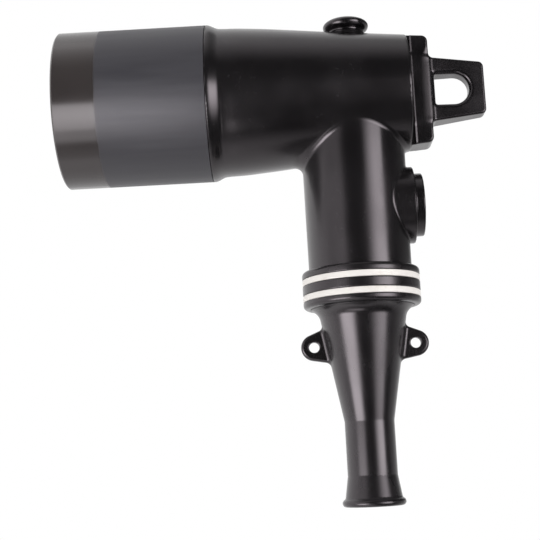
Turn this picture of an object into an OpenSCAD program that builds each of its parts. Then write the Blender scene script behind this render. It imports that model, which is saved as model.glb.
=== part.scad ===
// Separable elbow connector for a medium-voltage cable.
// The arm lies along X with its bushing mouth at the origin, and the cable leg hangs down along Z.

/* [Bushing cuff] */
// Outside diameter of the grey cuff
cuff_d = 100; // [96:0.5:108]
// Length of the cuff that stands out of the jacket
cuff_len = 93.5; // [84:0.5:104]
// Chamfer on the outer rim of the cuff
cuff_rim = 1; // [0.5:0.1:2]
// Diameter of the straight mouth that takes the bushing's collar
mouth_d = 83; // [78:0.5:86]
// Depth of the straight mouth
mouth_depth = 30; // [22:0.5:34]

/* [Bushing socket] */
// Diameter of the tapered socket at its wide end
socket_d = 76; // [66:0.5:78]
// Diameter of the tapered socket at its narrow end
socket_end_d = 50; // [46:0.5:54]
// Length of the tapered socket
socket_len = 108; // [100:0.5:112]
// Width of the groove that the bushing's nose snaps into
lock_groove_w = 5; // [3:0.5:6]
// Depth of the snap groove
lock_groove_depth = 2.5; // [1:0.5:4]

/* [Arm of the jacket] */
// Length of the rounded shoulder behind the cuff
shoulder_len = 11.5; // [8:0.5:16]
// Length of the shoulder's straight rim
shoulder_rim = 2; // [1:0.5:5]
// Diameter of the arm where its taper starts
arm_d = 95.2; // [92:0.2:97]
// Diameter of the arm at its rear face
arm_end_d = 74.6; // [72:0.2:80]
// Length of the jacket's arm, from the cuff to the rear face
arm_len = 126.7; // [124:0.1:137]
// Rounding of the arm's rear edge
arm_end_round = 0.8; // [0.4:0.1:1.2]
// Thickness of the jacket's wall
jacket_wall = 4; // [3:0.2:5]
// Thickness of the jacket's rear wall, which anchors the pulling eye
rear_wall = 10; // [9:0.5:12]

/* [Leg of the jacket] */
// Distance from the arm's rear face to the leg's axis
leg_setback = 36.8; // [36:0.1:39]
// Diameter of the leg at the arm's axis
leg_d = 66; // [64:0.2:68]
// Diameter of the leg at its lower end
leg_end_d = 63.9; // [62:0.1:64]
// Length of the leg below the arm's axis
leg_len = 136.5; // [130:0.5:150]
// Radius of the fillet where the leg meets the arm
saddle_fillet = 3; // [2:0.2:4]
// Length of the leg's lower end that grips the cable's screen
screen_grip_len = 24; // [16:0.5:30]
// Bore of the leg's lower end
screen_bore_d = 23.2; // [22.5:0.1:26]

/* [Stepped boss on the back of the leg] */
// Drop of the boss's axis below the arm's axis
boss_drop = 73.8; // [72:0.2:80]
// Diameter of the boss's lower step
boss_d = 48.2; // [46:0.2:52]
// Reach of the lower step from the leg's axis
boss_reach = 36; // [35:0.1:40]
// Diameter of the boss's upper step
boss_top_d = 39.6; // [36:0.2:44]
// Height of the upper step
boss_top_h = 5.7; // [3:0.1:8]
// Rounding of both steps' edges
boss_round = 0.8; // [0.4:0.1:1.2]

/* [Insulating body] */
// Bore for the cable's insulation
cable_bore_d = 22; // [21:0.1:22.4]

/* [Conductive insert] */
// Outside diameter of the insert along the arm
insert_d = 42; // [40:0.5:44]
// Outside diameter of the insert along the leg
insert_leg_d = 36; // [32:0.5:38]
// Distance from the socket's snap groove to the insert
insert_land = 4.4; // [2:0.2:6]
// Diameter of the chamber round the lug's pad
chamber_d = 30; // [28:0.5:32]
// Thickness of the insert's closed end
insert_end_wall = 5; // [4:0.5:6]
// Overlap of the insert below the lug's barrel
insert_lap = 3; // [2:0.5:6]

/* [Lug and probe] */
// Outside diameter of the lug's barrel
barrel_d = 18; // [17.6:0.1:20]
// Length of the lug's barrel
barrel_len = 56; // [48:0.5:60]
// Bore for the cable's conductor
conductor_d = 11.5; // [9:0.1:13]
// Depth of the conductor's bore
conductor_depth = 46; // [38:0.5:47]
// Width of the lug's flat pad
pad_w = 15.6; // [14:0.1:15.8]
// Thickness of the lug's flat pad
pad_t = 8.8; // [8:0.1:9]
// Drop from the probe's axis to the top of the barrel
pad_drop = 14; // [13:0.5:18]
// Diameter of the probe
probe_d = 11; // [10:0.1:12]
// Length of the copper part of the probe
probe_len = 92; // [80:0.5:94]
// Diameter of the probe's threaded stud
stud_d = 9.4; // [8:0.1:9.6]
// Diameter of the wrench hole across the probe
wrench_hole_d = 4; // [3:0.1:4.5]
// Distance from the lug's pad to the wrench hole
wrench_hole_x = 12; // [8:0.5:16]
// Length of the arc follower at the probe's tip
follower_len = 48; // [40:0.5:50]
// Diameter of the arc follower's spigot
spigot_d = 6; // [5:0.1:7]
// Length of the arc follower's spigot
spigot_len = 12; // [8:0.5:16]

/* [Test point] */
// Diameter of the low boss under the test point's cap
tp_boss_d = 24; // [22:0.2:27]
// Rise of the low boss above the arm
tp_boss_rise = 0.2; // [0.1:0.1:1]
// Diameter of the insulating post
tp_post_d = 17; // [15:0.2:18]
// Height of the insulating post above its boss
tp_post_h = 4; // [3:0.2:4.4]
// Diameter of the test electrode's stem
electrode_d = 6; // [5:0.2:8]
// Height of the electrode above the insulating post
electrode_h = 1.5; // [0.8:0.1:1.8]
// Diameter of the electrode's buried disc
electrode_disc_d = 12; // [10:0.2:14]
// Thickness of the electrode's buried disc
electrode_disc_t = 2; // [1:0.2:3]
// Depth of the electrode's stem below the boss
electrode_depth = 7; // [6:0.2:8]

/* [Test point cap] */
// Diameter of the cap's round grip
cap_d = 29.2; // [28:0.2:31]
// Height of the cap
cap_h = 9.6; // [8.8:0.2:12]
// Diameter of the cap's neck
cap_neck_d = 23; // [22:0.2:25]
// Height of the cap's neck
cap_neck_h = 0.7; // [0.5:0.1:2]

/* [Pulling eye] */
// Height of the eye's base bar
bar_h = 70; // [66:0.2:72]
// Depth of the base bar along the arm's axis
bar_t = 12.2; // [11:0.2:16]
// Width of the base bar
bar_w = 20; // [19:0.2:22]
// Rounding of the bar's outer corners
bar_round = 2.5; // [1.5:0.1:3.5]
// Bevel along the bar's front and back edges
bar_bevel = 1.2; // [0.6:0.1:1.4]
// Length of the bar's narrower root on the arm's rear face
bar_root_len = 2.8; // [2:0.1:4]
// Width of the bar's root
bar_root_w = 16.8; // [15:0.2:17]
// Height of the eye plate at its root
plate_root_h = 42.2; // [40:0.2:44]
// Height of the eye plate at its tip
plate_tip_h = 33.8; // [32:0.2:37]
// Length of the eye plate beyond the bar
plate_len = 34.1; // [33.6:0.1:38]
// Thickness of the eye plate at its root
plate_root_w = 15.4; // [14:0.2:16]
// Thickness of the eye plate at its tip
plate_tip_w = 11.2; // [10:0.2:12]
// Length of the slope from the bar down to the plate
plate_slope = 4; // [3:0.1:5]
// Fillets at the plate's root and rounding of its tip
plate_round = 3; // [2:0.1:3.6]
// Width of the D-shaped eye
eye_d = 19.8; // [19:0.1:21]
// Distance from the bar to the flat side of the eye
eye_setback = 2.3; // [1.5:0.1:3]
// Distance from the bar to the centre of the eye's round end
eye_centre = 14.2; // [13:0.1:14.6]
// Bevel round the eye's edges
eye_bevel = 2.4; // [1.6:0.1:2.8]

/* [Eye reinforcement] */
// Diameter of the bent steel rod
rod_d = 4; // [3:0.1:4.2]
// Cover between the eye and the rod
rod_cover = 1.9; // [1.6:0.1:2.2]
// Diameter of the rod's upset heads
rod_head_d = 7; // [5.5:0.1:8]
// Thickness of the rod's upset heads
rod_head_t = 2.5; // [1.5:0.1:3]
// Depth of the rod in the jacket's rear wall
rod_anchor = 7; // [5:0.1:8]

/* [Cable seal boot] */
// Diameter of the collar
collar_d = 73.4; // [71:0.2:76]
// Height of the collar's grip over the leg
collar_grip = 23.3; // [22.8:0.1:24]
// Rounding of the collar's top edge
collar_top_round = 2.5; // [1.5:0.1:3]
// Rounding of the collar's lower edge
collar_low_round = 2.2; // [1.5:0.1:2.6]
// Diameter of the cone at its top
cone_d = 52.6; // [50:0.2:54]
// Drop from the leg's end to the top of the cone
cone_drop = 9.5; // [8:0.1:12]
// Length of the cone
cone_len = 61; // [54:0.5:68]
// Wall of the cone at its top
cone_wall = 4.2; // [4:0.1:5]
// Outside diameter of the neck
neck_d = 30.6; // [30:0.2:33]
// Length of the neck
neck_len = 33; // [28:0.5:40]
// Bore of the neck for the cable's jacket
neck_bore_d = 24.4; // [23.4:0.1:25]
// Outside diameter of the flare above the lip
flare_d = 35; // [34:0.2:36]
// Length of the flare
flare_len = 13.8; // [11:0.2:16]
// Diameter of the lip
lip_d = 38.8; // [38:0.2:41]
// Height of the lip
lip_h = 4.6; // [4:0.1:6]
// Diameter of the lip's mouth
lip_mouth_d = 31; // [28:0.2:32]

/* [Drain-wire ears] */
// Distance between the two ear holes
ear_span = 63; // [61:0.2:66]
// Drop of the ear holes below the leg's end
ear_drop = 23.8; // [22:0.1:26]
// Diameter of the ear holes
ear_hole_d = 6.5; // [5:0.1:7]
// Diameter of the ears' round ends
ear_d = 16.3; // [15:0.1:18]
// Thickness of the ears
ear_t = 5.5; // [4.5:0.1:7]
// Height of the ears' root above their holes
ear_root_up = 12; // [11:0.2:13]
// Depth of the ears' root below their holes
ear_root_down = 10.5; // [10:0.1:11.5]

/* [Bands] */
// Height of each white band
band_h = 3.9; // [3.4:0.1:4.4]
// Depth of each white band
band_t = 2; // [1.4:0.1:2.4]
// Distance from the collar's top to the upper band
band_drop = 5; // [4.4:0.1:5.4]
// Distance between the two bands
band_gap = 6.1; // [5.4:0.1:6.4]

/* [Fits] */
// Room between mouldings that are bonded or moulded over each other
bond_gap = 0.1; // [0.05:0.01:0.15]
// Radial room of the lug's barrel in the insert
lug_clearance = 0.3; // [0.2:0.05:0.5]
// Radial room of the probe's stud and of the arc follower's spigot
thread_clearance = 0.1; // [0.05:0.01:0.15]
// Radial room of the boot's collar over the leg and of the cap over its post
push_clearance = 0.15; // [0.1:0.01:0.2]

/* [Hidden] */
$fn = 96;

rubber_black = [0.10, 0.095, 0.10];
gloss_black = [0.05, 0.05, 0.055];
cuff_grey = [0.27, 0.27, 0.29];
insert_black = [0.16, 0.15, 0.15];
copper = [0.72, 0.45, 0.30];
tin = [0.75, 0.75, 0.74];
follower_cream = [0.92, 0.89, 0.80];
brass = [0.80, 0.66, 0.35];
steel = [0.60, 0.61, 0.62];
band_white = [0.96, 0.95, 0.93];

// Extra length of cuts and overlaps, so that no two faces coincide
over = 1;
// Segments of a rounded corner in a turned profile
round_steps = 8;

// Arm
arm_x0 = cuff_len + shoulder_len;
arm_x1 = cuff_len + arm_len;
arm_slope = (arm_d - arm_end_d) / 2 / (arm_x1 - arm_x0);
function arm_r(x) = arm_d / 2 - arm_slope * (x - arm_x0);
core_x1 = arm_x1 - rear_wall;

// Leg
leg_x = arm_x1 - leg_setback;
leg_slope = (leg_d - leg_end_d) / 2 / leg_len;
function leg_r(z) = leg_d / 2 + leg_slope * z;
leg_core_r = leg_end_d / 2 - jacket_wall;
leg_core_z = -(leg_len - screen_grip_len);
// The saddle's ball never reaches past the arm's rear face
saddle_r = min(saddle_fillet, leg_setback - leg_d / 2 - arm_end_round);

// Socket and insert
socket_x1 = mouth_depth + socket_len;
groove_x1 = socket_x1 + lock_groove_w;
insert_x0 = groove_x1 + insert_land;
chamber_x1 = leg_x + chamber_d / 2;
insert_x1 = chamber_x1 + insert_end_wall;
insert_z0 = -(pad_drop + barrel_len + insert_lap);
lug_bore_d = barrel_d + 2 * lug_clearance;

// Probe
pad_x0 = leg_x - pad_t / 2;
probe_x0 = pad_x0 - probe_len;
follower_x0 = probe_x0 - follower_len;

// Test point
tp_boss_z = arm_r(leg_x - tp_boss_d / 2) + tp_boss_rise;
tp_post_z = tp_boss_z + tp_post_h;
electrode_z0 = tp_boss_z - electrode_depth;
electrode_z1 = tp_post_z + electrode_h;
cap_room = 0.6;

// Pulling eye
bar_x0 = arm_x1 + bar_root_len;
bar_x1 = bar_x0 + bar_t;
plate_x1 = bar_x1 + plate_len;
eye_x = bar_x1 + eye_centre;
rod_path_r = eye_d / 2 + rod_cover + rod_d / 2;
rod_x0 = arm_x1 - rod_anchor;

// Boot
collar_z1 = -leg_len + collar_grip;
collar_bore_r = leg_r(collar_z1) + push_clearance;
collar_r = collar_d / 2;
band_z = [collar_z1 - band_drop, collar_z1 - band_drop - band_h - band_gap];
cone_z1 = -leg_len - cone_drop;
neck_z1 = cone_z1 - cone_len;
flare_z1 = neck_z1 - neck_len;
lip_z1 = flare_z1 - flare_len;
lip_z0 = lip_z1 - lip_h;
ear_z = -leg_len - ear_drop;
function cone_r(z) = neck_d / 2 + (cone_d - neck_d) / 2 * (z - neck_z1) / cone_len;

// Points of a round corner, and of a smooth bend between two straight edges
function arc(c, r, a0, a1) = [
    for (i = [0:round_steps])
        let (a = a0 + (a1 - a0) * i / round_steps)
        [c[0] + r * cos(a), c[1] + r * sin(a)]
];
function bend(p, q, s) = [
    for (i = [0:round_steps])
        let (t = i / round_steps)
        (1 - t) * (1 - t) * p + 2 * t * (1 - t) * q + t * t * s
];

// Turns a profile of [radius, position] points round the arm's axis
module turn_x(profile) {
    rotate([0, 90, 0]) rotate_extrude() polygon(profile);
}

// Turns a profile of [radius, height] points round the leg's axis
module turn_leg(profile) {
    translate([leg_x, 0, 0]) rotate_extrude() polygon(profile);
}

// Round bar along X between two positions, at a height above the arm's axis
module rod_x(x0, x1, d, z = 0) {
    translate([x0, 0, z]) rotate([0, 90, 0]) cylinder(h = x1 - x0, d = d);
}

// Round bar on the leg's axis between two heights
module rod_leg(z0, z1, d) {
    translate([leg_x, 0, z0]) cylinder(h = z1 - z0, d = d);
}

// Jacket: outside of the arm, with its rounded shoulder
module arm_outside() {
    rim_x = cuff_len + shoulder_rim;
    ease = [
        for (i = [0:round_steps])
            let (t = i / round_steps)
            [cuff_d / 2 + (arm_d - cuff_d) / 2 * (1 - cos(180 * t)) / 2, rim_x + (arm_x0 - rim_x) * t]
    ];
    rear = arc([arm_r(arm_x1) - arm_end_round, arm_x1 - arm_end_round], arm_end_round, 0, 90);
    turn_x(concat([[0, cuff_len], [cuff_d / 2, cuff_len]], ease, rear, [[0, arm_x1]]));
}

// Fillet that a ball leaves when it rolls round the leg along the arm.
// Each section is an arc and one point buried in both walls.
module saddle() {
    stations = 72;
    steps = 5;
    sink = 0.08;
    bury = 2;
    cone_norm = sqrt(1 + arm_slope * arm_slope);
    function centre(a) =
        let (
            lift = saddle_r - sink,
            r = leg_d / 2 + lift,
            x = leg_x + r * cos(a),
            y = r * sin(a),
            ra = arm_r(x) + lift * cone_norm,
            z = -sqrt(ra * ra - y * y)
        )
        [x - (leg_d / 2 - leg_r(z)) * cos(a), y - (leg_d / 2 - leg_r(z)) * sin(a), z];
    function to_arm(c) =
        let (r = norm([c[1], c[2]])) -[arm_slope, c[1] / r, c[2] / r] / cone_norm;
    function to_leg(a) = -[cos(a), sin(a), 0];
    function section(a) =
        let (c = centre(a), p = to_arm(c), q = to_leg(a), w = acos(p * q))
        concat(
            [
                for (i = [0:steps])
                    let (t = i / steps)
                    c + saddle_r * (sin((1 - t) * w) * p + sin(t * w) * q) / sin(w)
            ],
            [c + (saddle_r + bury) / (1 + p * q) * (p + q)]
        );
    n = steps + 2;
    points = [for (s = [0:stations - 1]) each section(360 * s / stations)];
    quads = [
        for (s = [0:stations - 1], i = [0:n - 1])
            let (s1 = (s + 1) % stations, i1 = (i + 1) % n)
            [s * n + i, s * n + i1, s1 * n + i1, s1 * n + i]
    ];
    tris = [for (f = quads) each [[f[0], f[1], f[2]], [f[0], f[2], f[3]]]];
    polyhedron(points, tris);
}

// One step of the boss on the back of the leg, with its edge rounded
module boss_step(reach, d) {
    edge = arc([d / 2 - boss_round, reach - boss_round], boss_round, 0, 90);
    translate([leg_x, 0, -boss_drop]) turn_x(concat([[0, 0], [d / 2, 0]], edge, [[0, reach]]));
}

// Jacket: leg, stepped boss and the test point's low boss, from the arm's axis outwards
module leg_outside() {
    translate([leg_x, 0, -leg_len]) cylinder(h = leg_len, d1 = leg_end_d, d2 = leg_d);
    boss_step(boss_reach, boss_d);
    boss_step(boss_reach + boss_top_h, boss_top_d);
    rod_leg(0, tp_boss_z, tp_boss_d);
}

// Room inside the jacket where gap is 0, and the insulating body that fills it where gap is the bond gap
module core(gap) {
    x0 = cuff_len;
    x1 = core_x1 - gap;
    wall = jacket_wall + gap;
    r0 = arm_r(x0) - wall;
    turn_x([[0, x0 - over], [r0, x0 - over], [r0, x0], [arm_r(x1) - wall, x1], [0, x1]]);
    rod_leg(leg_core_z + gap, 0, 2 * (leg_core_r - gap));
    rod_leg(0, tp_post_z, tp_post_d + 2 * (bond_gap - gap));
}

module conductive_jacket() {
    color(rubber_black) difference() {
        union() {
            arm_outside();
            leg_outside();
            saddle();
        }
        core(0);
        rod_leg(-leg_len - over, 0, screen_bore_d);
        reinforcement(bond_gap);
    }
}

// Outside of the conductive insert: a closed sleeve along the arm and an open one along the leg
module insert_outside(gap) {
    rod_x(insert_x0 - gap, insert_x1 + gap, insert_d + 2 * gap);
    rod_leg(insert_z0 - gap, 0, insert_leg_d + 2 * gap);
}

module conductive_insert() {
    color(insert_black) difference() {
        insert_outside(0);
        rod_x(insert_x0 - over, chamber_x1, chamber_d);
        rod_leg(insert_z0 - over, 0, lug_bore_d);
    }
}

// Socket of the insulating body: straight mouth, taper, snap groove and the way through to the insert
module socket_room() {
    groove_r = socket_end_d / 2 + lock_groove_depth;
    way_r = chamber_d / 2;
    turn_x([
        [0, -over], [mouth_d / 2, -over], [mouth_d / 2, mouth_depth], [socket_d / 2, mouth_depth],
        [socket_end_d / 2, socket_x1], [groove_r, socket_x1], [groove_r, groove_x1],
        [way_r, groove_x1], [way_r, insert_x0 + over], [0, insert_x0 + over]
    ]);
}

module insulating_body() {
    cuff_r = cuff_d / 2;
    cuff_x1 = cuff_len - bond_gap;
    color(cuff_grey) difference() {
        union() {
            turn_x([[0, 0], [cuff_r - cuff_rim, 0], [cuff_r, cuff_rim], [cuff_r, cuff_x1], [0, cuff_x1]]);
            core(bond_gap);
        }
        socket_room();
        insert_outside(bond_gap);
        rod_leg(leg_core_z - over, 0, cable_bore_d);
        electrode(bond_gap);
    }
}

module compression_lug() {
    barrel_z0 = -(pad_drop + barrel_len);
    color(tin) difference() {
        union() {
            rod_leg(barrel_z0, -pad_drop, barrel_d);
            translate([pad_x0, 0, 0]) rotate([90, 0, 90]) linear_extrude(pad_t) {
                circle(d = pad_w);
                translate([-pad_w / 2, -pad_drop - over]) square([pad_w, pad_drop + over]);
            }
        }
        rod_leg(barrel_z0 - over, barrel_z0 + conductor_depth, conductor_d);
        rod_x(pad_x0 - over, pad_x0 + pad_t + over, stud_d + 2 * thread_clearance);
    }
}

module probe_contact() {
    color(copper) difference() {
        union() {
            rod_x(probe_x0, pad_x0, probe_d);
            rod_x(pad_x0 - over, pad_x0 + pad_t, stud_d);
        }
        rod_x(probe_x0 - over, probe_x0 + spigot_len + thread_clearance, spigot_d + 2 * thread_clearance);
        translate([pad_x0 - wrench_hole_x, 0, 0]) rotate([90, 0, 0])
            cylinder(h = probe_d + 2 * over, d = wrench_hole_d, center = true);
    }
}

module arc_follower() {
    tip = probe_d / 2;
    spigot_x1 = probe_x0 + spigot_len;
    spigot = [[spigot_d / 2, probe_x0], [spigot_d / 2, spigot_x1], [0, spigot_x1]];
    nose = arc([0, follower_x0 + tip], tip, -80, 0);
    color(follower_cream) turn_x(concat([[0, follower_x0]], nose, [[tip, probe_x0]], spigot));
}

module electrode(gap) {
    rod_leg(electrode_z0, electrode_z1, electrode_d + 2 * gap);
    rod_leg(electrode_z0 - gap, electrode_z0 + electrode_disc_t + gap, electrode_disc_d + 2 * gap);
}

module test_point_electrode() {
    color(brass) electrode(0);
}

// Round grip with a fat underside, so that a hook can pull the cap off by its undercut
module test_point_cap() {
    low_angle = -64;
    grip_h = (cap_h - cap_neck_h) / (1 - sin(low_angle));
    grip_z = tp_boss_z + cap_h - grip_h;
    grip_steps = 20;
    grip = [
        for (i = [0:grip_steps])
            let (a = low_angle + (90 - low_angle) * i / grip_steps)
            [cap_d / 2 * pow(max(cos(a), 0), a > 0 ? 0.8 : 0.45), grip_z + grip_h * sin(a)]
    ];
    color(gloss_black) difference() {
        turn_leg(concat(
            [[0, tp_boss_z], [cap_neck_d / 2, tp_boss_z], [cap_neck_d / 2, tp_boss_z + cap_neck_h + over]],
            [for (p = grip) if (p[0] > cap_neck_d / 2 || p[1] > grip_z) p]
        ));
        rod_leg(tp_boss_z - over, electrode_z1 + cap_room, tp_post_d + 2 * push_clearance);
    }
}

// Side view of the pulling eye, in X and Z: root, base bar, tapered plate and the fillets between them
module eye_side() {
    lean = atan((plate_root_h - plate_tip_h) / 2 / plate_len);
    root = plate_root_h / 2;
    tip = plate_tip_h / 2;
    upper = concat(
        [[arm_x1, bar_h / 2]],
        arc([bar_x1 - bar_round, bar_h / 2 - bar_round], bar_round, 90, 0),
        arc([bar_x1 + plate_round, root + plate_round * (1 - tan(lean))], plate_round, 180, 270 - lean),
        arc([plate_x1 - plate_round, tip - plate_round * (1 - tan(lean))], plate_round, 90 - lean, 0)
    );
    polygon(concat(upper, [for (i = [len(upper) - 1:-1:0]) [upper[i][0], -upper[i][1]]]));
}

// Plan view of the pulling eye, in X and Y: narrow root, full width at the bar, then the thinning plate
module eye_plan() {
    half = [
        [arm_x1, bar_root_w / 2], [bar_x0, bar_root_w / 2],
        [bar_x0, bar_w / 2 - bar_bevel], [bar_x0 + bar_bevel, bar_w / 2],
        [bar_x1 - bar_bevel, bar_w / 2], [bar_x1, bar_w / 2 - bar_bevel],
        [bar_x1 + plate_slope, plate_root_w / 2], [plate_x1, plate_tip_w / 2]
    ];
    polygon(concat(half, [for (i = [len(half) - 1:-1:0]) [half[i][0], -half[i][1]]]));
}

// Outline of the D-shaped eye, with its flat side to the bar
module eye_hole() {
    translate([eye_x, 0]) circle(d = eye_d);
    translate([bar_x1 + eye_setback, -eye_d / 2]) square([eye_centre - eye_setback, eye_d]);
}

// Bevelled mouth of the eye on the near face, which opens outwards along its straight and round edges
module eye_mouth() {
    r = eye_d / 2;
    depth = plate_root_w / 2 - eye_bevel;
    flare = 2 * eye_bevel;
    x0 = bar_x1 + eye_setback;
    section = [[0, depth - over], [r - over, depth - over], [r + flare, depth + flare], [0, depth + flare]];
    translate([eye_x, 0, 0]) rotate([90, 0, 0]) rotate([0, 0, -90]) rotate_extrude(angle = 180) polygon(section);
    for (up = [0, 1]) mirror([0, 0, up]) translate([x0, 0, 0]) rotate([90, 0, 90])
        linear_extrude(eye_x - x0) polygon([for (p = section) [-p[1], p[0]]]);
}

module pulling_eye() {
    color(gloss_black) difference() {
        intersection() {
            rotate([90, 0, 0]) linear_extrude(bar_w + 2 * over, center = true) eye_side();
            linear_extrude(bar_h + 2 * over, center = true) eye_plan();
        }
        rotate([90, 0, 0]) linear_extrude(bar_w + 2 * over, center = true) eye_hole();
        for (far = [0, 1]) mirror([0, far, 0]) eye_mouth();
        reinforcement(bond_gap);
    }
}

// Steel rod bent to a U round the eye, with an upset head on each end
module reinforcement(gap) {
    d = rod_d + 2 * gap;
    translate([eye_x, 0, 0]) rotate([90, 0, 0]) rotate([0, 0, -90]) rotate_extrude(angle = 180)
        translate([rod_path_r, 0]) circle(d = d);
    for (side = [-1, 1]) {
        rod_x(rod_x0, eye_x, d, side * rod_path_r);
        rod_x(rod_x0 - gap, rod_x0 + rod_head_t + gap, rod_head_d + 2 * gap, side * rod_path_r);
    }
}

module eye_reinforcement() {
    color(steel) reinforcement(0);
}

// Outside of the boot as a turned profile, from the collar's top down to the lip
module boot_outside() {
    low_a = -70;
    low_c = [collar_r - collar_low_round, -leg_len + collar_low_round];
    neck_top = [cone_d / 2, cone_z1];
    hollow = [cone_r(cone_z1 + cone_drop / 2), cone_z1 + cone_drop / 2];
    shelf = [cone_d / 2 + 0.4 * (collar_r - cone_d / 2), -leg_len - cone_drop / 4];
    bead_r = lip_h / 2;
    turn_leg(concat(
        [[0, collar_z1]],
        arc([collar_r - collar_top_round, collar_z1 - collar_top_round], collar_top_round, 90, 0),
        arc(low_c, collar_low_round, 0, low_a),
        bend(shelf, hollow, neck_top),
        [[neck_d / 2, neck_z1], [neck_d / 2, flare_z1], [flare_d / 2, lip_z1]],
        arc([lip_d / 2 - bead_r, lip_z0 + bead_r], bead_r, 80, -90),
        [[0, lip_z0]]
    ));
}

// Inside of the boot: collar over the leg's end, cone, neck bore and flared mouth
module boot_inside() {
    throat_r = cone_d / 2 - cone_wall;
    turn_leg([
        [0, collar_z1 + over], [collar_bore_r, collar_z1 + over], [collar_bore_r, -leg_len],
        [throat_r, -leg_len], [throat_r, cone_z1], [neck_bore_d / 2, neck_z1], [neck_bore_d / 2, flare_z1],
        [lip_mouth_d / 2, lip_z0], [lip_mouth_d / 2, lip_z0 - over], [0, lip_z0 - over]
    ]);
}

// One ear, a flat tongue that tapers from the cone to a round end; side is -1 or 1.
// Its flanks run a hair inside the round end, so that they cut it cleanly.
module ear(side) {
    r = ear_d / 2;
    flank_r = r - 0.05;
    bury = 2;
    root = [for (h = [ear_root_up, -ear_root_down]) [cone_r(ear_z + h) - bury, h]];
    function touch(p, s) =
        let (v = p - [ear_span / 2, 0], a = atan2(v[1], v[0]) - s * acos(flank_r / norm(v)))
        [ear_span / 2 + flank_r * cos(a), flank_r * sin(a)];
    translate([leg_x, 0, ear_z]) mirror([side > 0 ? 0 : 1, 0, 0]) rotate([90, 0, 0])
        linear_extrude(ear_t, center = true) {
            translate([ear_span / 2, 0]) circle(r = r);
            polygon([root[0], touch(root[0], 1), [ear_span / 2, 0], touch(root[1], -1), root[1]]);
        }
}

// Bore of one ear
module ear_hole(side) {
    translate([leg_x + side * ear_span / 2, 0, ear_z]) rotate([90, 0, 0])
        cylinder(h = ear_t + 2 * over, d = ear_hole_d, center = true);
}

// Square-edged ring round the leg's axis, from a height downwards
module ring(z, h, r_in, r_out) {
    turn_leg([[r_in, z - h], [r_out, z - h], [r_out, z], [r_in, z]]);
}

// Groove in the collar for one white band
module band_groove(z) {
    ring(z + bond_gap, band_h + 2 * bond_gap, collar_r - band_t - bond_gap, collar_r + over);
}

// White band, flush with the collar
module band(z) {
    color(band_white) ring(z, band_h, collar_r - band_t, collar_r);
}

module cable_seal_boot() {
    color(rubber_black) difference() {
        union() {
            boot_outside();
            for (side = [-1, 1]) ear(side);
        }
        boot_inside();
        for (side = [-1, 1]) ear_hole(side);
        for (z = band_z) band_groove(z);
    }
}

module upper_band() {
    band(band_z[0]);
}

module lower_band() {
    band(band_z[1]);
}

insulating_body();
conductive_insert();
conductive_jacket();
compression_lug();
probe_contact();
arc_follower();
test_point_electrode();
test_point_cap();
pulling_eye();
eye_reinforcement();
cable_seal_boot();
upper_band();
lower_band();
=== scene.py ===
import math

import bmesh
import bpy
import numpy as np
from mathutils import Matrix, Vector


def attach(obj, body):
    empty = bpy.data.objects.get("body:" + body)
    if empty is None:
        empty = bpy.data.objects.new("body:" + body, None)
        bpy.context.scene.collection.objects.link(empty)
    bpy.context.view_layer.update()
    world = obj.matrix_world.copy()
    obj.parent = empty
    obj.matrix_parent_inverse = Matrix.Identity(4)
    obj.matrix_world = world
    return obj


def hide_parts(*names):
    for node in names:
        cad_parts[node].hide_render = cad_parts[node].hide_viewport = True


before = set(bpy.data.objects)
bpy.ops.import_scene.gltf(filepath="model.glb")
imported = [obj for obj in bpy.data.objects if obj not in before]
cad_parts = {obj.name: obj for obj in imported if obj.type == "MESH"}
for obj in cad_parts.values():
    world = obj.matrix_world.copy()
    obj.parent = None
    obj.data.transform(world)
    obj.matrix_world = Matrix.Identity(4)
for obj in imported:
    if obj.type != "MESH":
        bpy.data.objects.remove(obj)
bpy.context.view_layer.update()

# Insulating body: the grey cuff that slides over the bushing, with the tapered socket inside it.
# Moulded from insulating rubber in one shot. Its outside is ground matt, apart from the polished
# end zone at the mouth, and its rear half is moulded over by the jacket.


def new_finish(name, roughness, tint=(1.0, 1.0, 1.0)):
    """An empty finish: the material, its node tree and its shader."""
    finish = bpy.data.materials.new(name)
    finish.use_nodes = True
    shader = finish.node_tree.nodes["Principled BSDF"]
    shader.inputs["Roughness"].default_value = roughness
    shader.inputs["Specular Tint"].default_value = (*tint, 1.0)
    return finish, finish.node_tree, shader


def put(tree, kind, inputs=None, **settings):
    """Adds a node; an input is a value, or the output socket of another node."""
    node = tree.nodes.new(kind)
    for key, value in settings.items():
        setattr(node, key, value)
    for key, value in (inputs or {}).items():
        if isinstance(value, bpy.types.NodeSocket):
            tree.links.new(value, node.inputs[key])
        else:
            node.inputs[key].default_value = value
    return node


def place_of(tree):
    return put(tree, "ShaderNodeTexCoord").outputs["Object"]


def stretched(tree, factors):
    """Object coordinates, stretched along an axis where the factor is small."""
    return put(tree, "ShaderNodeMapping", {"Vector": place_of(tree), "Scale": factors}).outputs["Vector"]


def cloud(tree, vector, scale, detail=3.0, roughness=0.55):
    inputs = {"Vector": vector, "Scale": scale, "Detail": detail, "Roughness": roughness}
    return put(tree, "ShaderNodeTexNoise", inputs).outputs["Fac"]


def spread(tree, value, low, high, to_low=0.0, to_high=1.0):
    """Value from low to high, eased and spread from to_low to to_high."""
    inputs = {"Value": value, "From Min": low, "From Max": high, "To Min": to_low, "To Max": to_high}
    return put(tree, "ShaderNodeMapRange", inputs, interpolation_type="SMOOTHSTEP").outputs["Result"]


def maths(tree, operation, a, b):
    return put(tree, "ShaderNodeMath", {0: a, 1: b}, operation=operation).outputs["Value"]


def blend_colours(tree, share, a, b):
    node = put(tree, "ShaderNodeMix", {"Factor": share}, data_type="RGBA")
    for socket, value in ((node.inputs[6], a), (node.inputs[7], b)):
        if isinstance(value, bpy.types.NodeSocket):
            tree.links.new(value, socket)
        else:
            socket.default_value = (*value, 1.0)
    return node.outputs[2]


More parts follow.
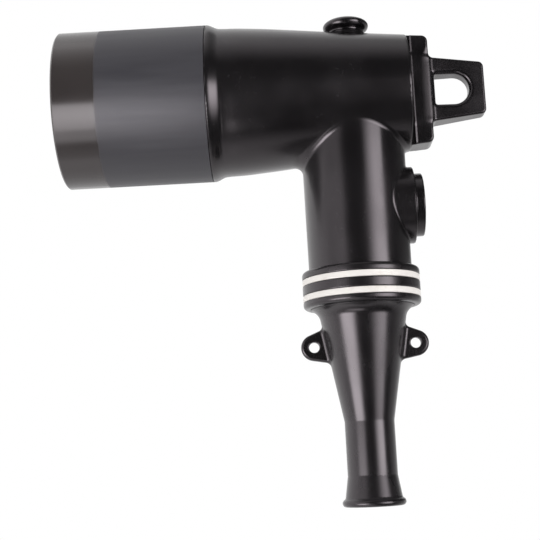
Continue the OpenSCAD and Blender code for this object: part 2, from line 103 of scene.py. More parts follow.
def set_bump(tree, shader, height, strength, distance):
    inputs = {"Height": height, "Strength": strength, "Distance": distance}
    tree.links.new(put(tree, "ShaderNodeBump", inputs).outputs["Normal"], shader.inputs["Normal"])


def axis_part(tree, axis):
    return put(tree, "ShaderNodeSeparateXYZ", {"Vector": place_of(tree)}).outputs[axis]


def cuff_finish():
    """Grey rubber that is polished up to a border near the mouth and ground matt behind it."""
    polished_end, border, wobble = 0.0266, 0.0008, 0.00025
    matt_dark, matt_light = (0.029, 0.0285, 0.0345), (0.037, 0.0365, 0.043)
    polished_dark, polished_light = (0.035, 0.0295, 0.029), (0.041, 0.035, 0.034)
    finish, tree, shader = new_finish("cuff_rubber", 0.45, (1.0, 0.95, 0.98))
    x = axis_part(tree, "X")
    wander = spread(tree, cloud(tree, place_of(tree), 90.0), 0.3, 0.7, -wobble, wobble)
    ground = spread(tree, maths(tree, "ADD", x, wander), polished_end - border, polished_end + border)
    rubs = cloud(tree, stretched(tree, (14.0, 160.0, 160.0)), 1.0, 4.0)
    patches = cloud(tree, place_of(tree), 26.0, 1.0)
    matt = blend_colours(tree, spread(tree, rubs, 0.35, 0.7), matt_dark, matt_light)
    polished = blend_colours(tree, spread(tree, patches, 0.35, 0.7), polished_dark, polished_light)
    tree.links.new(blend_colours(tree, ground, polished, matt), shader.inputs["Base Color"])
    matt_gloss = spread(tree, rubs, 0.3, 0.75, 0.44, 0.54)
    polished_gloss = spread(tree, patches, 0.2, 0.8, 0.19, 0.24)
    gloss = put(tree, "ShaderNodeMix", {"Factor": ground, "A": polished_gloss, "B": matt_gloss})
    tree.links.new(gloss.outputs["Result"], shader.inputs["Roughness"])
    grain = cloud(tree, place_of(tree), 1500.0, 2.0)
    set_bump(tree, shader, maths(tree, "MULTIPLY", grain, ground), 0.10, 0.0002)
    return finish


def dress(node, finish):
    """Gives a CAD node its finish."""
    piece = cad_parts[node]
    piece.data.materials.clear()
    piece.data.materials.append(finish)


dress("insulating_body", cuff_finish())

# Conductive insert: the semiconducting sleeve inside the body that shields the lug. Black rubber with
# carbon, moulded first and laid into the mould of the body.


def insert_finish():
    dark, light = (0.012, 0.012, 0.012), (0.022, 0.021, 0.02)
    finish, tree, shader = new_finish("insert_rubber", 0.6)
    mottle = cloud(tree, place_of(tree), 120.0, 4.0)
    colour = blend_colours(tree, spread(tree, mottle, 0.3, 0.7), dark, light)
    tree.links.new(colour, shader.inputs["Base Color"])
    set_bump(tree, shader, cloud(tree, place_of(tree), 900.0, 2.0), 0.15, 0.0002)
    return finish


dress("conductive_insert", insert_finish())

# Lug and probe: the tinned lug that is pressed on the conductor, the copper probe screwed into it and
# the cream arc follower on the probe's tip. They show only through the mouth of the cuff.


def turned_metal(name, dark, light, roughness):
    """Metal with fine turning rings and a tarnish that dulls it in places."""
    finish, tree, shader = new_finish(name, roughness)
    shader.inputs["Metallic"].default_value = 1.0
    rings = cloud(tree, stretched(tree, (2600.0, 30.0, 30.0)), 1.0, 2.0)
    tarnish = cloud(tree, place_of(tree), 140.0, 5.0)
    colour = blend_colours(tree, spread(tree, tarnish, 0.3, 0.75), light, dark)
    tree.links.new(colour, shader.inputs["Base Color"])
    gloss = spread(tree, tarnish, 0.3, 0.75, roughness - 0.06, roughness + 0.14)
    tree.links.new(gloss, shader.inputs["Roughness"])
    set_bump(tree, shader, rings, 0.12, 0.00008)
    return finish


def follower_finish():
    cream, brown = (0.80, 0.75, 0.62), (0.68, 0.61, 0.47)
    finish, tree, shader = new_finish("follower_plastic", 0.4)
    stain = cloud(tree, place_of(tree), 70.0, 4.0)
    colour = blend_colours(tree, spread(tree, stain, 0.35, 0.75), cream, brown)
    tree.links.new(colour, shader.inputs["Base Color"])
    shader.inputs["Subsurface Weight"].default_value = 0.1
    shader.inputs["Subsurface Scale"].default_value = 0.002
    set_bump(tree, shader, cloud(tree, stretched(tree, (1200.0, 40.0, 40.0)), 1.0, 2.0), 0.08, 0.0001)
    return finish


tin = turned_metal("lug_tin", (0.42, 0.42, 0.41), (0.66, 0.66, 0.65), 0.36)
dress("compression_lug", tin)
copper = turned_metal("probe_copper", (0.48, 0.21, 0.12), (0.78, 0.42, 0.27), 0.28)
dress("probe_contact", copper)
dress("arc_follower", follower_finish())

# Jacket: the semiconducting black shell of arm, leg, stepped boss and test-point boss, with a rolled
# fillet where the leg leaves the arm. It is moulded over the body in one shot, so its edges are round.

MM = 0.001
ARM_X0, ARM_X1 = 93.5, 220.2
LEG_X = 183.4
CAP_Z = 41.863


def round_join(a, b, r):
    """Union of two distances, with a hollow fillet of radius r between them."""
    return np.maximum(r, np.minimum(a, b)) - np.hypot(np.maximum(r - a, 0), np.maximum(r - b, 0))


def round_trim(a, b, r):
    """Intersection of two distances, with an edge rounded to radius r."""
    return np.minimum(-r, np.maximum(a, b)) + np.hypot(np.maximum(r + a, 0), np.maximum(r + b, 0))


def bar(along, across, start, end, radius, edge):
    """Distance to a round bar with rounded ends."""
    return round_trim(across - radius, np.maximum(start - along, along - end), edge)


def slope_of(form, points, step=0.02):
    """Gradient of a distance at the points."""
    slope = np.empty_like(points)
    for axis in range(3):
        shift = np.zeros(3)
        shift[axis] = step
        slope[:, axis] = (form(points + shift) - form(points - shift)) / (2 * step)
    return slope


def lay_on(form, points, reach):
    """Moves points onto the form's skin and returns its outward normals there."""
    rounds, least_slope = 4, 0.05
    for _ in range(rounds):
        slope = slope_of(form, points)
        move = form(points) / np.maximum((slope ** 2).sum(1), least_slope)
        points -= np.clip(move, -reach, reach)[:, None] * slope
    slope = slope_of(form, points)
    return slope / np.maximum(np.linalg.norm(slope, axis=1), 1e-9)[:, None]


def stand(name, data):
    """Puts a new object with this data into the scene."""
    piece = bpy.data.objects.new(name, data)
    bpy.context.scene.collection.objects.link(piece)
    return piece


def thinned(piece, share):
    """The piece's mesh with only a share of its triangles, most of them where it bends."""
    modifier = piece.modifiers.new("thin", "DECIMATE")
    modifier.ratio = share
    mesh = bpy.data.meshes.new_from_object(piece.evaluated_get(bpy.context.evaluated_depsgraph_get()))
    piece.modifiers.remove(modifier)
    return mesh


def mould(name, form, low, high, pitch, share):
    """A closed smooth skin where the form's distance, in millimetres, is zero.

    Each cell of a lattice that the skin crosses gets one point, at the middle of its crossed edges, and
    each crossed edge gets one face round it. The points are then laid on the form itself.
    """
    margin, last_reach = 2, 0.2
    counts = [int(math.ceil((b - a) / pitch)) + 2 * margin + 1 for a, b in zip(low, high)]
    origin = np.array(low, float) - margin * pitch
    axes = [start + pitch * np.arange(n) for start, n in zip(origin, counts)]
    lattice = np.stack(np.meshgrid(*axes, indexing="ij"), axis=-1).reshape(-1, 3)
    depth = form(lattice).reshape(counts)
    cells = [n - 1 for n in counts]
    total = np.zeros((int(np.prod(cells)), 3))
    hits = np.zeros(len(total))
    rings = []
    for axis in range(3):
        here = np.take(depth, range(counts[axis] - 1), axis)
        there = np.take(depth, range(1, counts[axis]), axis)
        edges = np.argwhere((here < 0) != (there < 0))
        a, b = here[tuple(edges.T)], there[tuple(edges.T)]
        crossing = edges.astype(float)
        crossing[:, axis] += a / (a - b)
        ring = []
        for back_1, back_2 in ((0, 0), (1, 0), (1, 1), (0, 1)):
            cell = edges.copy()
            cell[:, (axis + 1) % 3] -= back_1
            cell[:, (axis + 2) % 3] -= back_2
            flat = np.ravel_multi_index(cell.T, cells)
            np.add.at(total, flat, crossing)
            np.add.at(hits, flat, 1)
            ring.append(flat)
        ring = np.stack(ring, axis=1)
        rings.append(np.where((a < 0)[:, None], ring, ring[:, ::-1]))
    used = np.flatnonzero(hits)
    number = np.zeros(len(total), int)
    number[used] = np.arange(len(used))
    points = origin + pitch * total[used] / hits[used, None]
    lay_on(form, points, pitch)
    cast = bpy.data.meshes.new(name + "_cast")
    cast.from_pydata((points * MM).tolist(), [], number[np.concatenate(rings)].tolist())
    piece = stand(name, cast)
    mesh = piece.data = thinned(piece, share)
    mesh.name = name
    bpy.data.meshes.remove(cast)
    points = np.empty(3 * len(mesh.vertices))
    mesh.vertices.foreach_get("co", points)
    points = points.reshape(-1, 3) / MM
    normals = lay_on(form, points, last_reach)
    mesh.vertices.foreach_set("co", (points * MM).ravel())
    mesh.shade_smooth()
    mesh.normals_split_custom_set_from_vertices(normals.tolist())
    return piece


def settle(piece, finish, slot, *nodes):
    """Finishes a new piece, hangs it on the one body and hides the CAD nodes that it stands for."""
    piece.data.materials.clear()
    piece.data.materials.append(finish)
    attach(piece, "root")
    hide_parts(*nodes)


def arm_radius(x):
    """Outer radius of the arm, and the plain taper that its wall follows inside."""
    shoulder_r, rim_x, taper_x, taper_d, rear_d = 50.0, 94.1, 105.0, 95.2, 74.6
    swell, swell_x, swell_run, swell_at_waist = 0.35, 135.0, 22.0, 0.04
    waist, waist_x, waist_run = 0.6, 102.6, 8.0
    taper = taper_d / 2 - (taper_d - rear_d) / 2 * (x - taper_x) / (ARM_X1 - taper_x)
    outside = taper + swell * np.exp(-((x - swell_x) / swell_run) ** 2)
    outside = outside - waist * np.exp(-((x - waist_x) / waist_run) ** 2)
    waist_r = taper_d / 2 + (taper_d - rear_d) / 2 * (taper_x - waist_x) / (ARM_X1 - taper_x)
    waist_r = waist_r - waist + swell_at_waist
    ease = (1 - np.cos(math.pi * np.clip((x - rim_x) / (waist_x - rim_x), 0, 1))) / 2
    return np.where(x < waist_x, shoulder_r + (waist_r - shoulder_r) * ease, outside), taper


def eye_rod(x, y, z, gap=0.1):
    """Distance to the room for the steel rod, bent to a U round the eye, with a head on each end."""
    path_r, rod_r, head_r, head_t, anchor_x, eye_x = 13.8, 2.0, 3.5, 2.5, 213.2, 249.4
    bend = np.hypot(np.hypot(x - eye_x, z) - path_r, y) - rod_r - gap
    across = np.hypot(np.abs(z) - path_r, y)
    leg = np.maximum(across - rod_r - gap, anchor_x - x)
    head = np.maximum(across - head_r - gap, np.abs(x - anchor_x - head_t / 2) - head_t / 2 - gap)
    return np.minimum(np.where(x > eye_x, bend, leg), head)


def jacket_form(points):
    """Distance to the jacket's skin: arm, leg and bosses, less the room for what it is moulded over."""
    leg_d, leg_end_d, leg_len = 66.0, 63.9, 136.5
    boss_z, boss_r, boss_reach, boss_top_r, boss_top_reach = -73.2, 24.2, 36.0, 19.9, 41.7
    test_boss_r, test_boss_z, post_r, post_z = 12.0, CAP_Z, 8.6, CAP_Z + 4.0
    wall, core_x1, leg_core_r, leg_core_z, screen_r = 4.0, 210.2, 27.95, -112.5, 11.6
    arm_taper_cos, rear_edge, rim_edge = 0.996, 1.0, 0.5
    boss_edge, boss_step_fillet, boss_fillet = 1.0, 0.8, 0.7
    test_boss_edge, test_boss_fillet = 0.8, 1.5
    saddle_r, left_gain, left_run = 3.2, 1.6, 14.0
    crotch_gain, crotch_x, crotch_run = 1.8, 23.0, 10.0
    x, y, z = points.T
    from_arm, from_leg = np.hypot(y, z), np.hypot(x - LEG_X, y)
    from_boss = np.hypot(y, z - boss_z)
    outside, taper = arm_radius(x)
    arm = round_trim((from_arm - outside) * arm_taper_cos, x - ARM_X1, rear_edge)
    arm = round_trim(arm, ARM_X0 - x, rim_edge)
    leg_r = leg_d / 2 + (leg_d - leg_end_d) / 2 / leg_len * z
    leg = np.maximum(from_leg - leg_r, np.maximum(z, -leg_len - z))
    boss = bar(x, from_boss, LEG_X, LEG_X + boss_reach, boss_r, boss_edge)
    boss_top = bar(x, from_boss, LEG_X, LEG_X + boss_top_reach, boss_top_r, boss_edge)
    leg = round_join(leg, round_join(boss, boss_top, boss_step_fillet), boss_fillet)
    # The saddle's fillet is full where arm and leg cross steeply and fades where they run alongside.
    alongside = y * y / np.maximum(from_arm * from_leg, 1e-6)
    to_mouth = LEG_X - x
    fillet = saddle_r + left_gain * np.clip(to_mouth / left_run, 0, 1)
    fillet = fillet + crotch_gain * np.clip((to_mouth - crotch_x) / crotch_run, 0, 1)
    shell = round_join(arm, leg, fillet * np.clip(1.05 - alongside, 0.15, 1))
    test_boss = bar(z, from_leg, 0, test_boss_z, test_boss_r, test_boss_edge)
    shell = round_join(shell, test_boss, test_boss_fillet)
    core = np.maximum(from_arm - taper + wall, x - core_x1)
    core = np.minimum(core, np.maximum(from_leg - leg_core_r, np.maximum(z, leg_core_z - z)))
    core = np.minimum(core, np.maximum(from_leg - post_r, np.maximum(-z, z - post_z)))
    core = np.minimum(core, np.maximum(from_leg - screen_r, z))
    core = np.minimum(core, eye_rod(x, y, z))
    return np.maximum(shell, -core)


def rubber_finish(name, gloss, dull, dust, specular):
    """Black moulded rubber with a soft mottle, fine grain and a little dust in it."""
    dark, light, dust_grey = (0.0048, 0.0044, 0.0048), (0.0080, 0.0074, 0.0080), (0.05, 0.048, 0.048)
    finish, tree, shader = new_finish(name, gloss, (1.0, 0.90, 0.96))
    shader.inputs["Specular IOR Level"].default_value = specular
    mottle = cloud(tree, place_of(tree), 38.0, 5.0, 0.6)
    wiped = cloud(tree, stretched(tree, (30.0, 70.0, 18.0)), 1.0, 4.0)
    specks = cloud(tree, place_of(tree), 420.0, 3.0, 0.7)
    colour = blend_colours(tree, spread(tree, mottle, 0.35, 0.7), dark, light)
    settled = spread(tree, wiped, 0.42, 0.66, 0.0, dust)
    dusty = maths(tree, "MULTIPLY", spread(tree, specks, 0.60, 0.74), settled)
    tree.links.new(blend_colours(tree, dusty, colour, dust_grey), shader.inputs["Base Color"])
    tree.links.new(spread(tree, wiped, 0.32, 0.68, gloss, dull), shader.inputs["Roughness"])
    set_bump(tree, shader, cloud(tree, place_of(tree), 700.0, 3.0), 0.06, 0.0002)
    return finish


jacket = mould("jacket_shell", jacket_form, (ARM_X0, -50, -136.5), (225.1, 50, 50), pitch=0.95, share=0.5)
jacket_rubber = rubber_finish("jacket_rubber", gloss=0.17, dull=0.27, dust=0.6, specular=0.5)
settle(jacket, jacket_rubber, "jacket_rubber", "conductive_jacket")

# Test point: a brass electrode in the insulating post on top of the arm, under a round rubber cap that
# a hook pulls off by its undercut. The cap is a glossy moulding of its own, pushed on the post.


def lathe(name, profile, centre, turns=128):
    """Turns a closed profile of (radius, height) points round an upright axis, in millimetres."""
    sharp = math.radians(50)
    made = bmesh.new()
    rows = []
    for radius, height in profile:
        row = []
        for i in range(turns if radius > 1e-6 else 1):
            angle = 2 * math.pi * i / turns
            x, y = centre[0] + radius * math.cos(angle), centre[1] + radius * math.sin(angle)
            row.append(made.verts.new((x * MM, y * MM, height * MM)))
        rows.append(row)
    for low, high in zip(rows, rows[1:]):
        for i in range(turns):
            j = (i + 1) % turns
            corners = [low[i % len(low)], low[j % len(low)], high[j % len(high)], high[i % len(high)]]
            made.faces.new(list(dict.fromkeys(corners)))
    bmesh.ops.recalc_face_normals(made, faces=made.faces)
    mesh = bpy.data.meshes.new(name)
    made.to_mesh(mesh)
    made.free()
    mesh.shade_smooth()
    mesh.set_sharp_from_angle(angle=sharp)
    return stand(name, mesh)


def cap_profile():
    """The cap's section: a mushroom grip that is fuller below, a short neck and the pocket for the post."""
    grip_r, cap_h, neck_r, neck_h, low_angle, steps = 14.6, 9.6, 11.5, 0.7, -64, 40
    crown_fullness, under_fullness, undercut, foot_edge, foot_bevel = 0.8, 0.45, 0.15, 0.35, 0.1
    pocket_r, pocket_z = 8.65, CAP_Z + 6.1
    grip_h = (cap_h - neck_h) / (1 - math.sin(math.radians(low_angle)))
    grip_z = CAP_Z + cap_h - grip_h
    grip = []
    for i in range(steps + 1):
        angle = math.radians(90 + (low_angle - 90) * i / steps)
        fullness = crown_fullness if angle > 0 else under_fullness
        grip.append((grip_r * max(math.cos(angle), 0) ** fullness, grip_z + grip_h * math.sin(angle)))
    grip = [p for p in grip if p[0] > neck_r or p[1] > grip_z]
    grip[0] = (0.0, grip[0][1])
    neck = [
        (neck_r, grip[-1][1] - undercut),
        (neck_r, CAP_Z + foot_edge),
        (neck_r - foot_bevel, CAP_Z + foot_bevel),
        (neck_r - foot_edge, CAP_Z),
    ]
    return grip + neck + [(pocket_r, CAP_Z), (pocket_r, pocket_z), (0.0, pocket_z)]


def gloss_finish(name, gloss, dull):
    """Deep black rubber straight from a polished mould."""
    dark, light = (0.0045, 0.0042, 0.0046), (0.0075, 0.007, 0.0076)
    finish, tree, shader = new_finish(name, gloss, (1.0, 0.90, 0.96))
    wiped = cloud(tree, place_of(tree), 55.0, 4.0)
    colour = blend_colours(tree, spread(tree, wiped, 0.35, 0.7), dark, light)
    tree.links.new(colour, shader.inputs["Base Color"])
    tree.links.new(spread(tree, wiped, 0.32, 0.7, gloss, dull), shader.inputs["Roughness"])
    set_bump(tree, shader, cloud(tree, place_of(tree), 420.0, 3.0), 0.05, 0.0002)
    return finish


brass = turned_metal("electrode_brass", (0.45, 0.33, 0.13), (0.75, 0.58, 0.28), 0.3)
dress("test_point_electrode", brass)
cap = lathe("test_cap", cap_profile(), (LEG_X, 0.0))
settle(cap, gloss_finish("cap_moulding", gloss=0.16, dull=0.26), "cap_moulding", "test_point_cap")

# Pulling eye: the base bar and the tapered plate with its D-shaped hole, moulded in hard glossy rubber
# over a bent steel rod, whose two heads sit in the jacket's rear wall. The bar ramps down to the plate,
# and a thin raised edge runs along it next to the jacket.


def eye_form(points):
    """Distance to the eye's skin: root, base bar and plate, less the hole and the room for the rod."""
    root_w, root_overlap = 8.4, 2.0
    bar_x0, bar_x1, bar_half, bar_w, bar_lean = 223.0, 234.4, 35.0, 10.0, 0.08
    bar_corner, bar_edge, bar_front_edge = 3.6, 1.5, 0.9
    ramp_x, ramp_slope, ramp_twist, ramp_cos, ramp_edge = 231.0, 0.36, 0.002, 0.92, 0.6
    ramp_end, ramp_fade = 17.0, 0.012
    lip_h, lip_x, lip_half, lip_front, lip_slope, lip_cos = 0.5, 0.4, 0.7, 0.3, 0.36, 0.94
    lip_edge, lip_end, lip_end_edge = 0.15, 0.5, 0.4
    plate_x, tip_x, root_half, plate_taper, plate_taper_cos = 235.2, 269.3, 21.1, 0.1232, 0.993
    plate_half, plate_half_x, plate_lean, plate_lean_cos = 7.7, 4.0, 0.0698, 0.995
    plate_corner, plate_edge, plate_fillet = 3.0, 1.3, 3.0
    hole_r, hole_x, hole_x0, hole_corner, hole_edge = 9.9, 249.4, 237.5, 1.5, 3.0
    x, y, z = points.T
    y_off, z_off = np.abs(y), np.abs(z)
    end = z_off - bar_half - (bar_x1 - x) * bar_lean
    base = round_trim(x - bar_x1, end, bar_corner)
    base = round_trim(base, y_off - bar_w, bar_edge)
    ramp = y_off - bar_w + (x - ramp_x) * (ramp_slope + ramp_twist * z)
    ramp = ramp - ramp_fade * np.maximum(z_off - ramp_end, 0) ** 2
    base = round_trim(base, ramp * ramp_cos, ramp_edge)
    base = round_trim(base, bar_x0 - x, bar_front_edge)
    lip = (y_off - bar_w - lip_h + (x - bar_x0 + lip_front) * lip_slope) * lip_cos
    lip = round_trim(lip, np.abs(x - bar_x0 - lip_x) - lip_half, lip_edge)
    base = np.minimum(base, round_trim(lip, end + lip_end, lip_end_edge))
    root = np.maximum(np.maximum(y_off - root_w, end), np.maximum(ARM_X1 - x, x - bar_x0 - root_overlap))
    base = np.minimum(base, root)
    edge = (z_off - root_half + (x - plate_x) * plate_taper) * plate_taper_cos
    face = (y_off - plate_half + (x - plate_x - plate_half_x) * plate_lean) * plate_lean_cos
    plate = round_trim(edge, x - tip_x, plate_corner)
    plate = np.maximum(round_trim(plate, face, plate_edge), bar_x0 + root_overlap - x)
    whole = round_join(base, plate, plate_fillet)
    straight = round_trim(z_off - hole_r, hole_x0 - x, hole_corner)
    hole = np.where(x > hole_x, np.hypot(x - hole_x, z) - hole_r, straight)
    whole = round_trim(whole, -hole, hole_edge)
    return np.maximum(whole, -eye_rod(x, y, z))


steel = turned_metal("rod_steel", (0.34, 0.34, 0.35), (0.55, 0.55, 0.56), 0.34)
dress("eye_reinforcement", steel)
eye_low, eye_high = (ARM_X1, -10.5, -36.5), (269.3, 10.5, 36.5)
eye = mould("pulling_eye_moulding", eye_form, eye_low, eye_high, pitch=0.42, share=1.0)
settle(eye, gloss_finish("eye_moulding", gloss=0.18, dull=0.28), "eye_moulding", "pulling_eye")

# Cable seal boot: a collar stretched over the leg's end, a cone with two drain-wire ears, a neck and a
# flared lip. One soft black moulding, pushed up over the cable and the leg.


def boot_form(points):
    """Distance to the boot's skin: collar, cone, neck, lip and ears, less the bore and the grooves."""
    collar_r, collar_z1, collar_z0, collar_edge, collar_fillet = 36.7, -113.2, -136.5, 2.4, 7.0
    outline_z = [-253.8, -240.0, -207.0, -146.0, -138.0]
    outline_r = [17.5, 15.3, 15.3, 26.3, 27.74]
    cone_cos, cone_top, lip_overlap = 0.984, -137.0, 1.0
    lip_r, lip_z0, lip_z1, lip_edge, lip_fillet = 19.4, -258.4, -253.8, 2.25, 0.8
    ear_x, ear_z, ear_r, ear_half, ear_root_x = 31.5, -160.3, 8.15, 2.75, 10
    upper_flank, lower_flank, ear_edge, ear_fillet = 22.0, 10.5, 1.9, 2.4
    ear_hole_r, ear_hole_edge = 3.25, 0.7
    band_tops, band_h, groove_r, groove_edge = (-118.1, -128.1), 4.1, 34.6, 0.5
    bore_r, throat_r, mouth_edge = 32.28, 22.1, 0.8
    inner_z = [-259.4, -258.4, -240.0, -207.0, -146.0, -136.5]
    inner_r = [15.5, 15.5, 12.2, 12.2, throat_r, throat_r]
    x, y, z = points.T
    from_leg = np.hypot(x - LEG_X, y)
    collar = bar(z, from_leg, collar_z0, collar_z1, collar_r, collar_edge)
    body = (from_leg - np.interp(z, outline_z, outline_r)) * cone_cos
    body = np.maximum(body, np.maximum(lip_z0 + lip_overlap - z, z - cone_top))
    lip = bar(z, from_leg, lip_z0, lip_z1, lip_r, lip_edge)
    whole = round_join(round_join(body, lip, lip_fillet), collar, collar_fillet)
    u, w = np.abs(x - LEG_X) - ear_x, np.abs(z - ear_z)
    flank = np.radians(np.where(z > ear_z, upper_flank, lower_flank))
    beside = u * np.cos(flank) - w * np.sin(flank) < 0
    outline = np.where(beside, u * np.sin(flank) + w * np.cos(flank), np.hypot(u, w)) - ear_r
    ear = np.maximum(round_trim(outline, np.abs(y) - ear_half, ear_edge), -ear_x + ear_root_x - u)
    whole = round_join(whole, ear, ear_fillet)
    whole = round_trim(whole, ear_hole_r - np.hypot(u, w), ear_hole_edge)
    for top in band_tops:
        groove = np.maximum(groove_r - from_leg, np.maximum(z - top, top - band_h - z))
        whole = round_trim(whole, -groove, groove_edge)
    room = np.maximum(from_leg - np.interp(z, inner_z, inner_r), z - collar_z0)
    room = np.minimum(room, np.maximum(from_leg - bore_r, collar_z0 - z))
    return round_trim(whole, -room, mouth_edge)


boot_low, boot_high = (142.9, -36.7, -258.4), (223.9, 36.7, -113.2)
boot = mould("cable_boot", boot_form, boot_low, boot_high, pitch=0.62, share=0.5)
boot_rubber = rubber_finish("boot_rubber", gloss=0.22, dull=0.31, dust=0.45, specular=0.55)
settle(boot, boot_rubber, "boot_rubber", "cable_seal_boot")

# Bands: two white rings that mark the boot's collar, snapped into its grooves and flush with it.
# Soft white plastic, cut from one moulded section, so both come from one ring rule.


def band_rule():
    """A ring of rectangular section with rounded edges, round an upright axis."""
    tree = bpy.data.node_groups.new("band_ring", "GeometryNodeTree")
    face = tree.interface
    for name, kind in (
        ("Radius", "NodeSocketFloat"), ("Depth", "NodeSocketFloat"), ("Height", "NodeSocketFloat"),
        ("Edge", "NodeSocketFloat"), ("Place", "NodeSocketVector"), ("Finish", "NodeSocketMaterial"),
    ):
        face.new_socket(name, in_out="INPUT", socket_type=kind)
    face.new_socket("Ring", in_out="OUTPUT", socket_type="NodeSocketGeometry")
    given = put(tree, "NodeGroupInput").outputs
    path = put(tree, "GeometryNodeCurvePrimitiveCircle", {"Resolution": 160, "Radius": given["Radius"]})
    sides = {"Width": given["Depth"], "Height": given["Height"]}
    section = put(tree, "GeometryNodeCurvePrimitiveQuadrilateral", sides)
    edges = {"Curve": section.outputs["Curve"], "Radius": given["Edge"], "Count": 5}
    rounded = put(tree, "GeometryNodeFilletCurve", edges, mode="POLY")
    curves = {"Curve": path.outputs["Curve"], "Profile Curve": rounded.outputs["Curve"]}
    ring = put(tree, "GeometryNodeCurveToMesh", curves)
    shift = {"Geometry": ring.outputs["Mesh"], "Translation": given["Place"]}
    moved = put(tree, "GeometryNodeTransform", shift)
    smooth = put(tree, "GeometryNodeSetShadeSmooth", {"Geometry": moved.outputs["Geometry"]})
    real = put(tree, "GeometryNodeRealizeInstances", {"Geometry": smooth.outputs["Geometry"]})
    painted = {"Geometry": real.outputs["Geometry"], "Material": given["Finish"]}
    done = put(tree, "GeometryNodeSetMaterial", painted)
    put(tree, "NodeGroupOutput", {"Ring": done.outputs["Geometry"]})
    return tree


def grow(name, tree, inputs):
    """Runs a rule with its inputs and returns the result as a plain mesh piece."""
    holder = stand(name + "_rule", bpy.data.meshes.new(name + "_rule"))
    modifier = holder.modifiers.new("rule", "NODES")
    modifier.node_group = tree
    sockets = {s.name: s.identifier for s in tree.interface.items_tree if s.in_out == "INPUT"}
    for key, value in inputs.items():
        modifier[sockets[key]] = value
    evaluated = holder.evaluated_get(bpy.context.evaluated_depsgraph_get())
    mesh = bpy.data.meshes.new_from_object(evaluated)
    mesh.name = name
    holder.modifiers.remove(modifier)
    bpy.data.objects.remove(holder)
    return stand(name, mesh)


def band_finish():
    clean, grimy = (0.89, 0.85, 0.815), (0.74, 0.69, 0.64)
    finish, tree, shader = new_finish("band_white", 0.45)
    grime = cloud(tree, place_of(tree), 95.0, 5.0, 0.65)
    colour = blend_colours(tree, spread(tree, grime, 0.5, 0.8), clean, grimy)
    tree.links.new(colour, shader.inputs["Base Color"])
    set_bump(tree, shader, cloud(tree, place_of(tree), 600.0, 2.0), 0.05, 0.0001)
    return finish


white = band_finish()
ring_rule = band_rule()
band_r, band_t, band_height, band_edge = 36.65, 2.0, 3.9, 0.45
for name, node, top in (
    ("white_band_upper", "upper_band", -118.2),
    ("white_band_lower", "lower_band", -128.2),
):
    ring = grow(name, ring_rule, {
        "Radius": (band_r - band_t / 2) * MM,
        "Depth": band_t * MM,
        "Height": band_height * MM,
        "Edge": band_edge * MM,
        "Place": (LEG_X * MM, 0.0, (top - band_height / 2) * MM),
        "Finish": white,
    })
    settle(ring, white, "band_white", node)

# Studio: a pale floor well below the part, in a surround that the camera sees as plain white. In gloss
# the surround has walls, a ceiling, a table and lamps, and is dim in front. A gridded softbox shows in
# the gloss of the cuff, and two large ones light only the matt colours.

FLOOR_Z = -0.36


def floor_finish():
    """Pale and matt below the part, easing to the surround's plain white farther off."""
    middle, clear, gone = (0.14, 0.0, FLOOR_Z), 0.25, 0.65
    finish, tree, shader = new_finish("studio_floor", 0.9)
    shader.inputs["Base Color"].default_value = (0.86, 0.86, 0.86, 1.0)
    shader.inputs["Specular IOR Level"].default_value = 0.0
    away = put(tree, "ShaderNodeVectorMath", {0: place_of(tree), 1: middle}, operation="DISTANCE")
    far = spread(tree, away.outputs["Value"], clear, gone)
    seen = put(tree, "ShaderNodeLightPath").outputs["Is Camera Ray"]
    white_out = put(tree, "ShaderNodeEmission", {"Color": (1, 1, 1, 1), "Strength": 1.0})
    mixed = put(tree, "ShaderNodeMixShader", {0: maths(tree, "MULTIPLY", far, seen)})
    tree.links.new(shader.outputs[0], mixed.inputs[1])
    tree.links.new(white_out.outputs[0], mixed.inputs[2])
    tree.links.new(mixed.outputs[0], tree.nodes["Material Output"].inputs["Surface"])
    return finish


def lay_floor():
    half = 4.0
    mesh = bpy.data.meshes.new("floor")
    square = ((-half, -half), (half, -half), (half, half), (-half, half))
    mesh.from_pydata([(x, y, FLOOR_Z) for x, y in square], [], [(0, 1, 2, 3)])
    mesh.materials.append(floor_finish())
    floor = stand("floor", mesh)
    floor.visible_glossy = False


def softbox(name, place, aim, width, height, brightness, in_gloss, in_diffuse):
    """A soft lamp; the flags tell whether it shows in reflections and whether it lights matt colour."""
    lamp = bpy.data.lights.new(name, "AREA")
    lamp.shape, lamp.size, lamp.size_y = "RECTANGLE", width, height
    lamp.energy = brightness * math.pi * width * height
    holder = stand(name, lamp)
    holder.location = place
    holder.visible_camera = False
    holder.visible_glossy, holder.visible_diffuse = in_gloss, in_diffuse
    holder.rotation_euler = (Vector(aim) - Vector(place)).to_track_quat("-Z", "Y").to_euler()
    return lamp


def window(tree, value, start, full, fade, end):
    """One between full and fade, easing to nothing at start and at end."""
    rising, falling = spread(tree, value, start, full), spread(tree, value, fade, end, 1.0, 0.0)
    return maths(tree, "MULTIPLY", rising, falling)


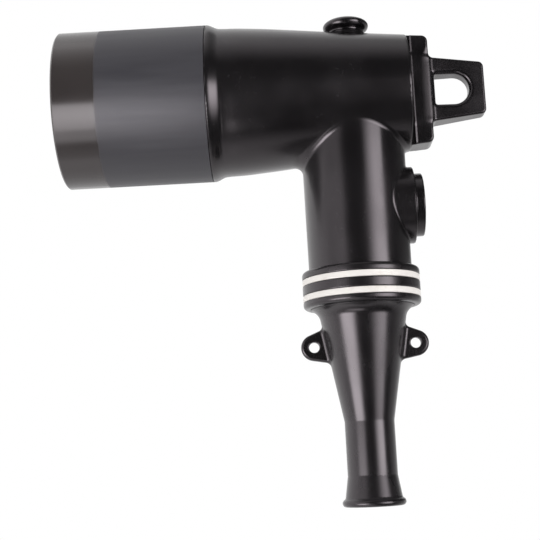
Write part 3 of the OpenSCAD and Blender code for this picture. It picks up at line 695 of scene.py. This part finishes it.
def light_surround():
    """White to the camera and even to matt colours; in gloss a room with lamps.

    The room goes by degrees: turn is 0 on the camera's side and grows to the right, rise is 0 level with
    the part. Each place in the room takes the brightest of what lies there.
    """
    dim, matt_level = 0.07, 0.8
    world = bpy.data.worlds.new("studio")
    bpy.context.scene.world = world
    world.use_nodes = True
    tree = world.node_tree
    path = put(tree, "ShaderNodeLightPath").outputs
    direction = put(tree, "ShaderNodeTexCoord").outputs["Generated"]
    towards = put(tree, "ShaderNodeSeparateXYZ", {"Vector": direction}).outputs
    forward = maths(tree, "MULTIPLY", towards["Y"], -1.0)
    turn = maths(tree, "DEGREES", maths(tree, "ARCTAN2", towards["X"], forward), 0.0)
    rise = maths(tree, "DEGREES", maths(tree, "ARCSINE", towards["Z"], 0.0), 0.0)
    left_near = spread(tree, turn, -100.0, -58.0, 1.6, 0.85)
    left_near = maths(tree, "MULTIPLY", left_near, spread(tree, rise, -20.0, 16.0, 0.82, 1.3))
    left_wall = maths(tree, "MINIMUM", spread(tree, turn, -170.0, -100.0, 1.0, 1.6), left_near)
    left_wall = maths(tree, "MULTIPLY", left_wall, spread(tree, turn, -42.0, -18.0, 1.0, 0.0))
    right_wall = spread(tree, turn, 100.0, 170.0, 0.55, 1.0)
    right_wall = maths(tree, "MULTIPLY", right_wall, spread(tree, turn, 78.0, 104.0))
    doorway = spread(tree, rise, 4.0, 10.0, 1.0, 0.15)
    doorway = maths(tree, "MAXIMUM", doorway, spread(tree, turn, 140.0, 165.0))
    right_wall = maths(tree, "MULTIPLY", right_wall, doorway)
    ceiling = spread(tree, rise, 40.0, 90.0)
    table = spread(tree, rise, -90.0, -55.0, 0.95, 0.0)
    levels = [left_wall, right_wall, ceiling, table]
    for strength, turns, rises in (
        (9.5, (-72.0, -60.0, -36.0, -20.0), (-42.0, -18.0, -12.0, 8.0)),
        (8.5, (14.0, 44.0, 60.0, 64.0), (-34.0, 4.0, 10.0, 22.0)),
        (2.6, (-80.0, -40.0, -6.0, 4.0), (-62.0, -57.0, -46.0, -38.0)),
    ):
        lamp = maths(tree, "MULTIPLY", window(tree, turn, *turns), window(tree, rise, *rises))
        levels.append(maths(tree, "MULTIPLY", lamp, strength))
    room = dim
    for level in levels:
        room = maths(tree, "MAXIMUM", level, room)
    mirrored = maths(tree, "MAXIMUM", path["Is Glossy Ray"], path["Is Transmission Ray"])
    shown = maths(tree, "MAXIMUM", maths(tree, "MULTIPLY", mirrored, room), path["Is Camera Ray"])
    plain = maths(tree, "MULTIPLY", path["Is Diffuse Ray"], matt_level)
    background = tree.nodes["Background"]
    background.inputs["Color"].default_value = (1, 1, 1, 1)
    tree.links.new(maths(tree, "MAXIMUM", shown, plain), background.inputs["Strength"])


lay_floor()
light_surround()
gridded = softbox(
    "cuff_softbox", (0.011, -0.175, -0.076), (0.018, 0.0, -0.010), width=0.142, height=0.112,
    brightness=1.6, in_gloss=True, in_diffuse=False,
)
gridded.spread = math.radians(90)
for name, place, aim in (
    ("left_softbox", (-0.45, -0.55, 0.15), (0.12, 0.0, -0.10)),
    ("right_softbox", (0.75, -0.45, 0.15), (0.15, 0.0, -0.10)),
):
    softbox(name, place, aim, width=0.6, height=0.6, brightness=1.3, in_gloss=False, in_diffuse=True)

# Camera: a long lens low in front of the part that looks a little upwards. Its place and angles come
# from a fit to the round edges of the part in the photograph.

camera = stand("camera", bpy.data.cameras.new("camera"))
camera.data.sensor_width, camera.data.lens = 36.0, 80.0
camera.location = (0.1414, -0.7449, -0.2291)
camera.rotation_euler = [math.radians(a) for a in (99.108, 2.794, 1.569)]
bpy.context.scene.camera = camera
bpy.context.scene.view_settings.view_transform = "Standard"
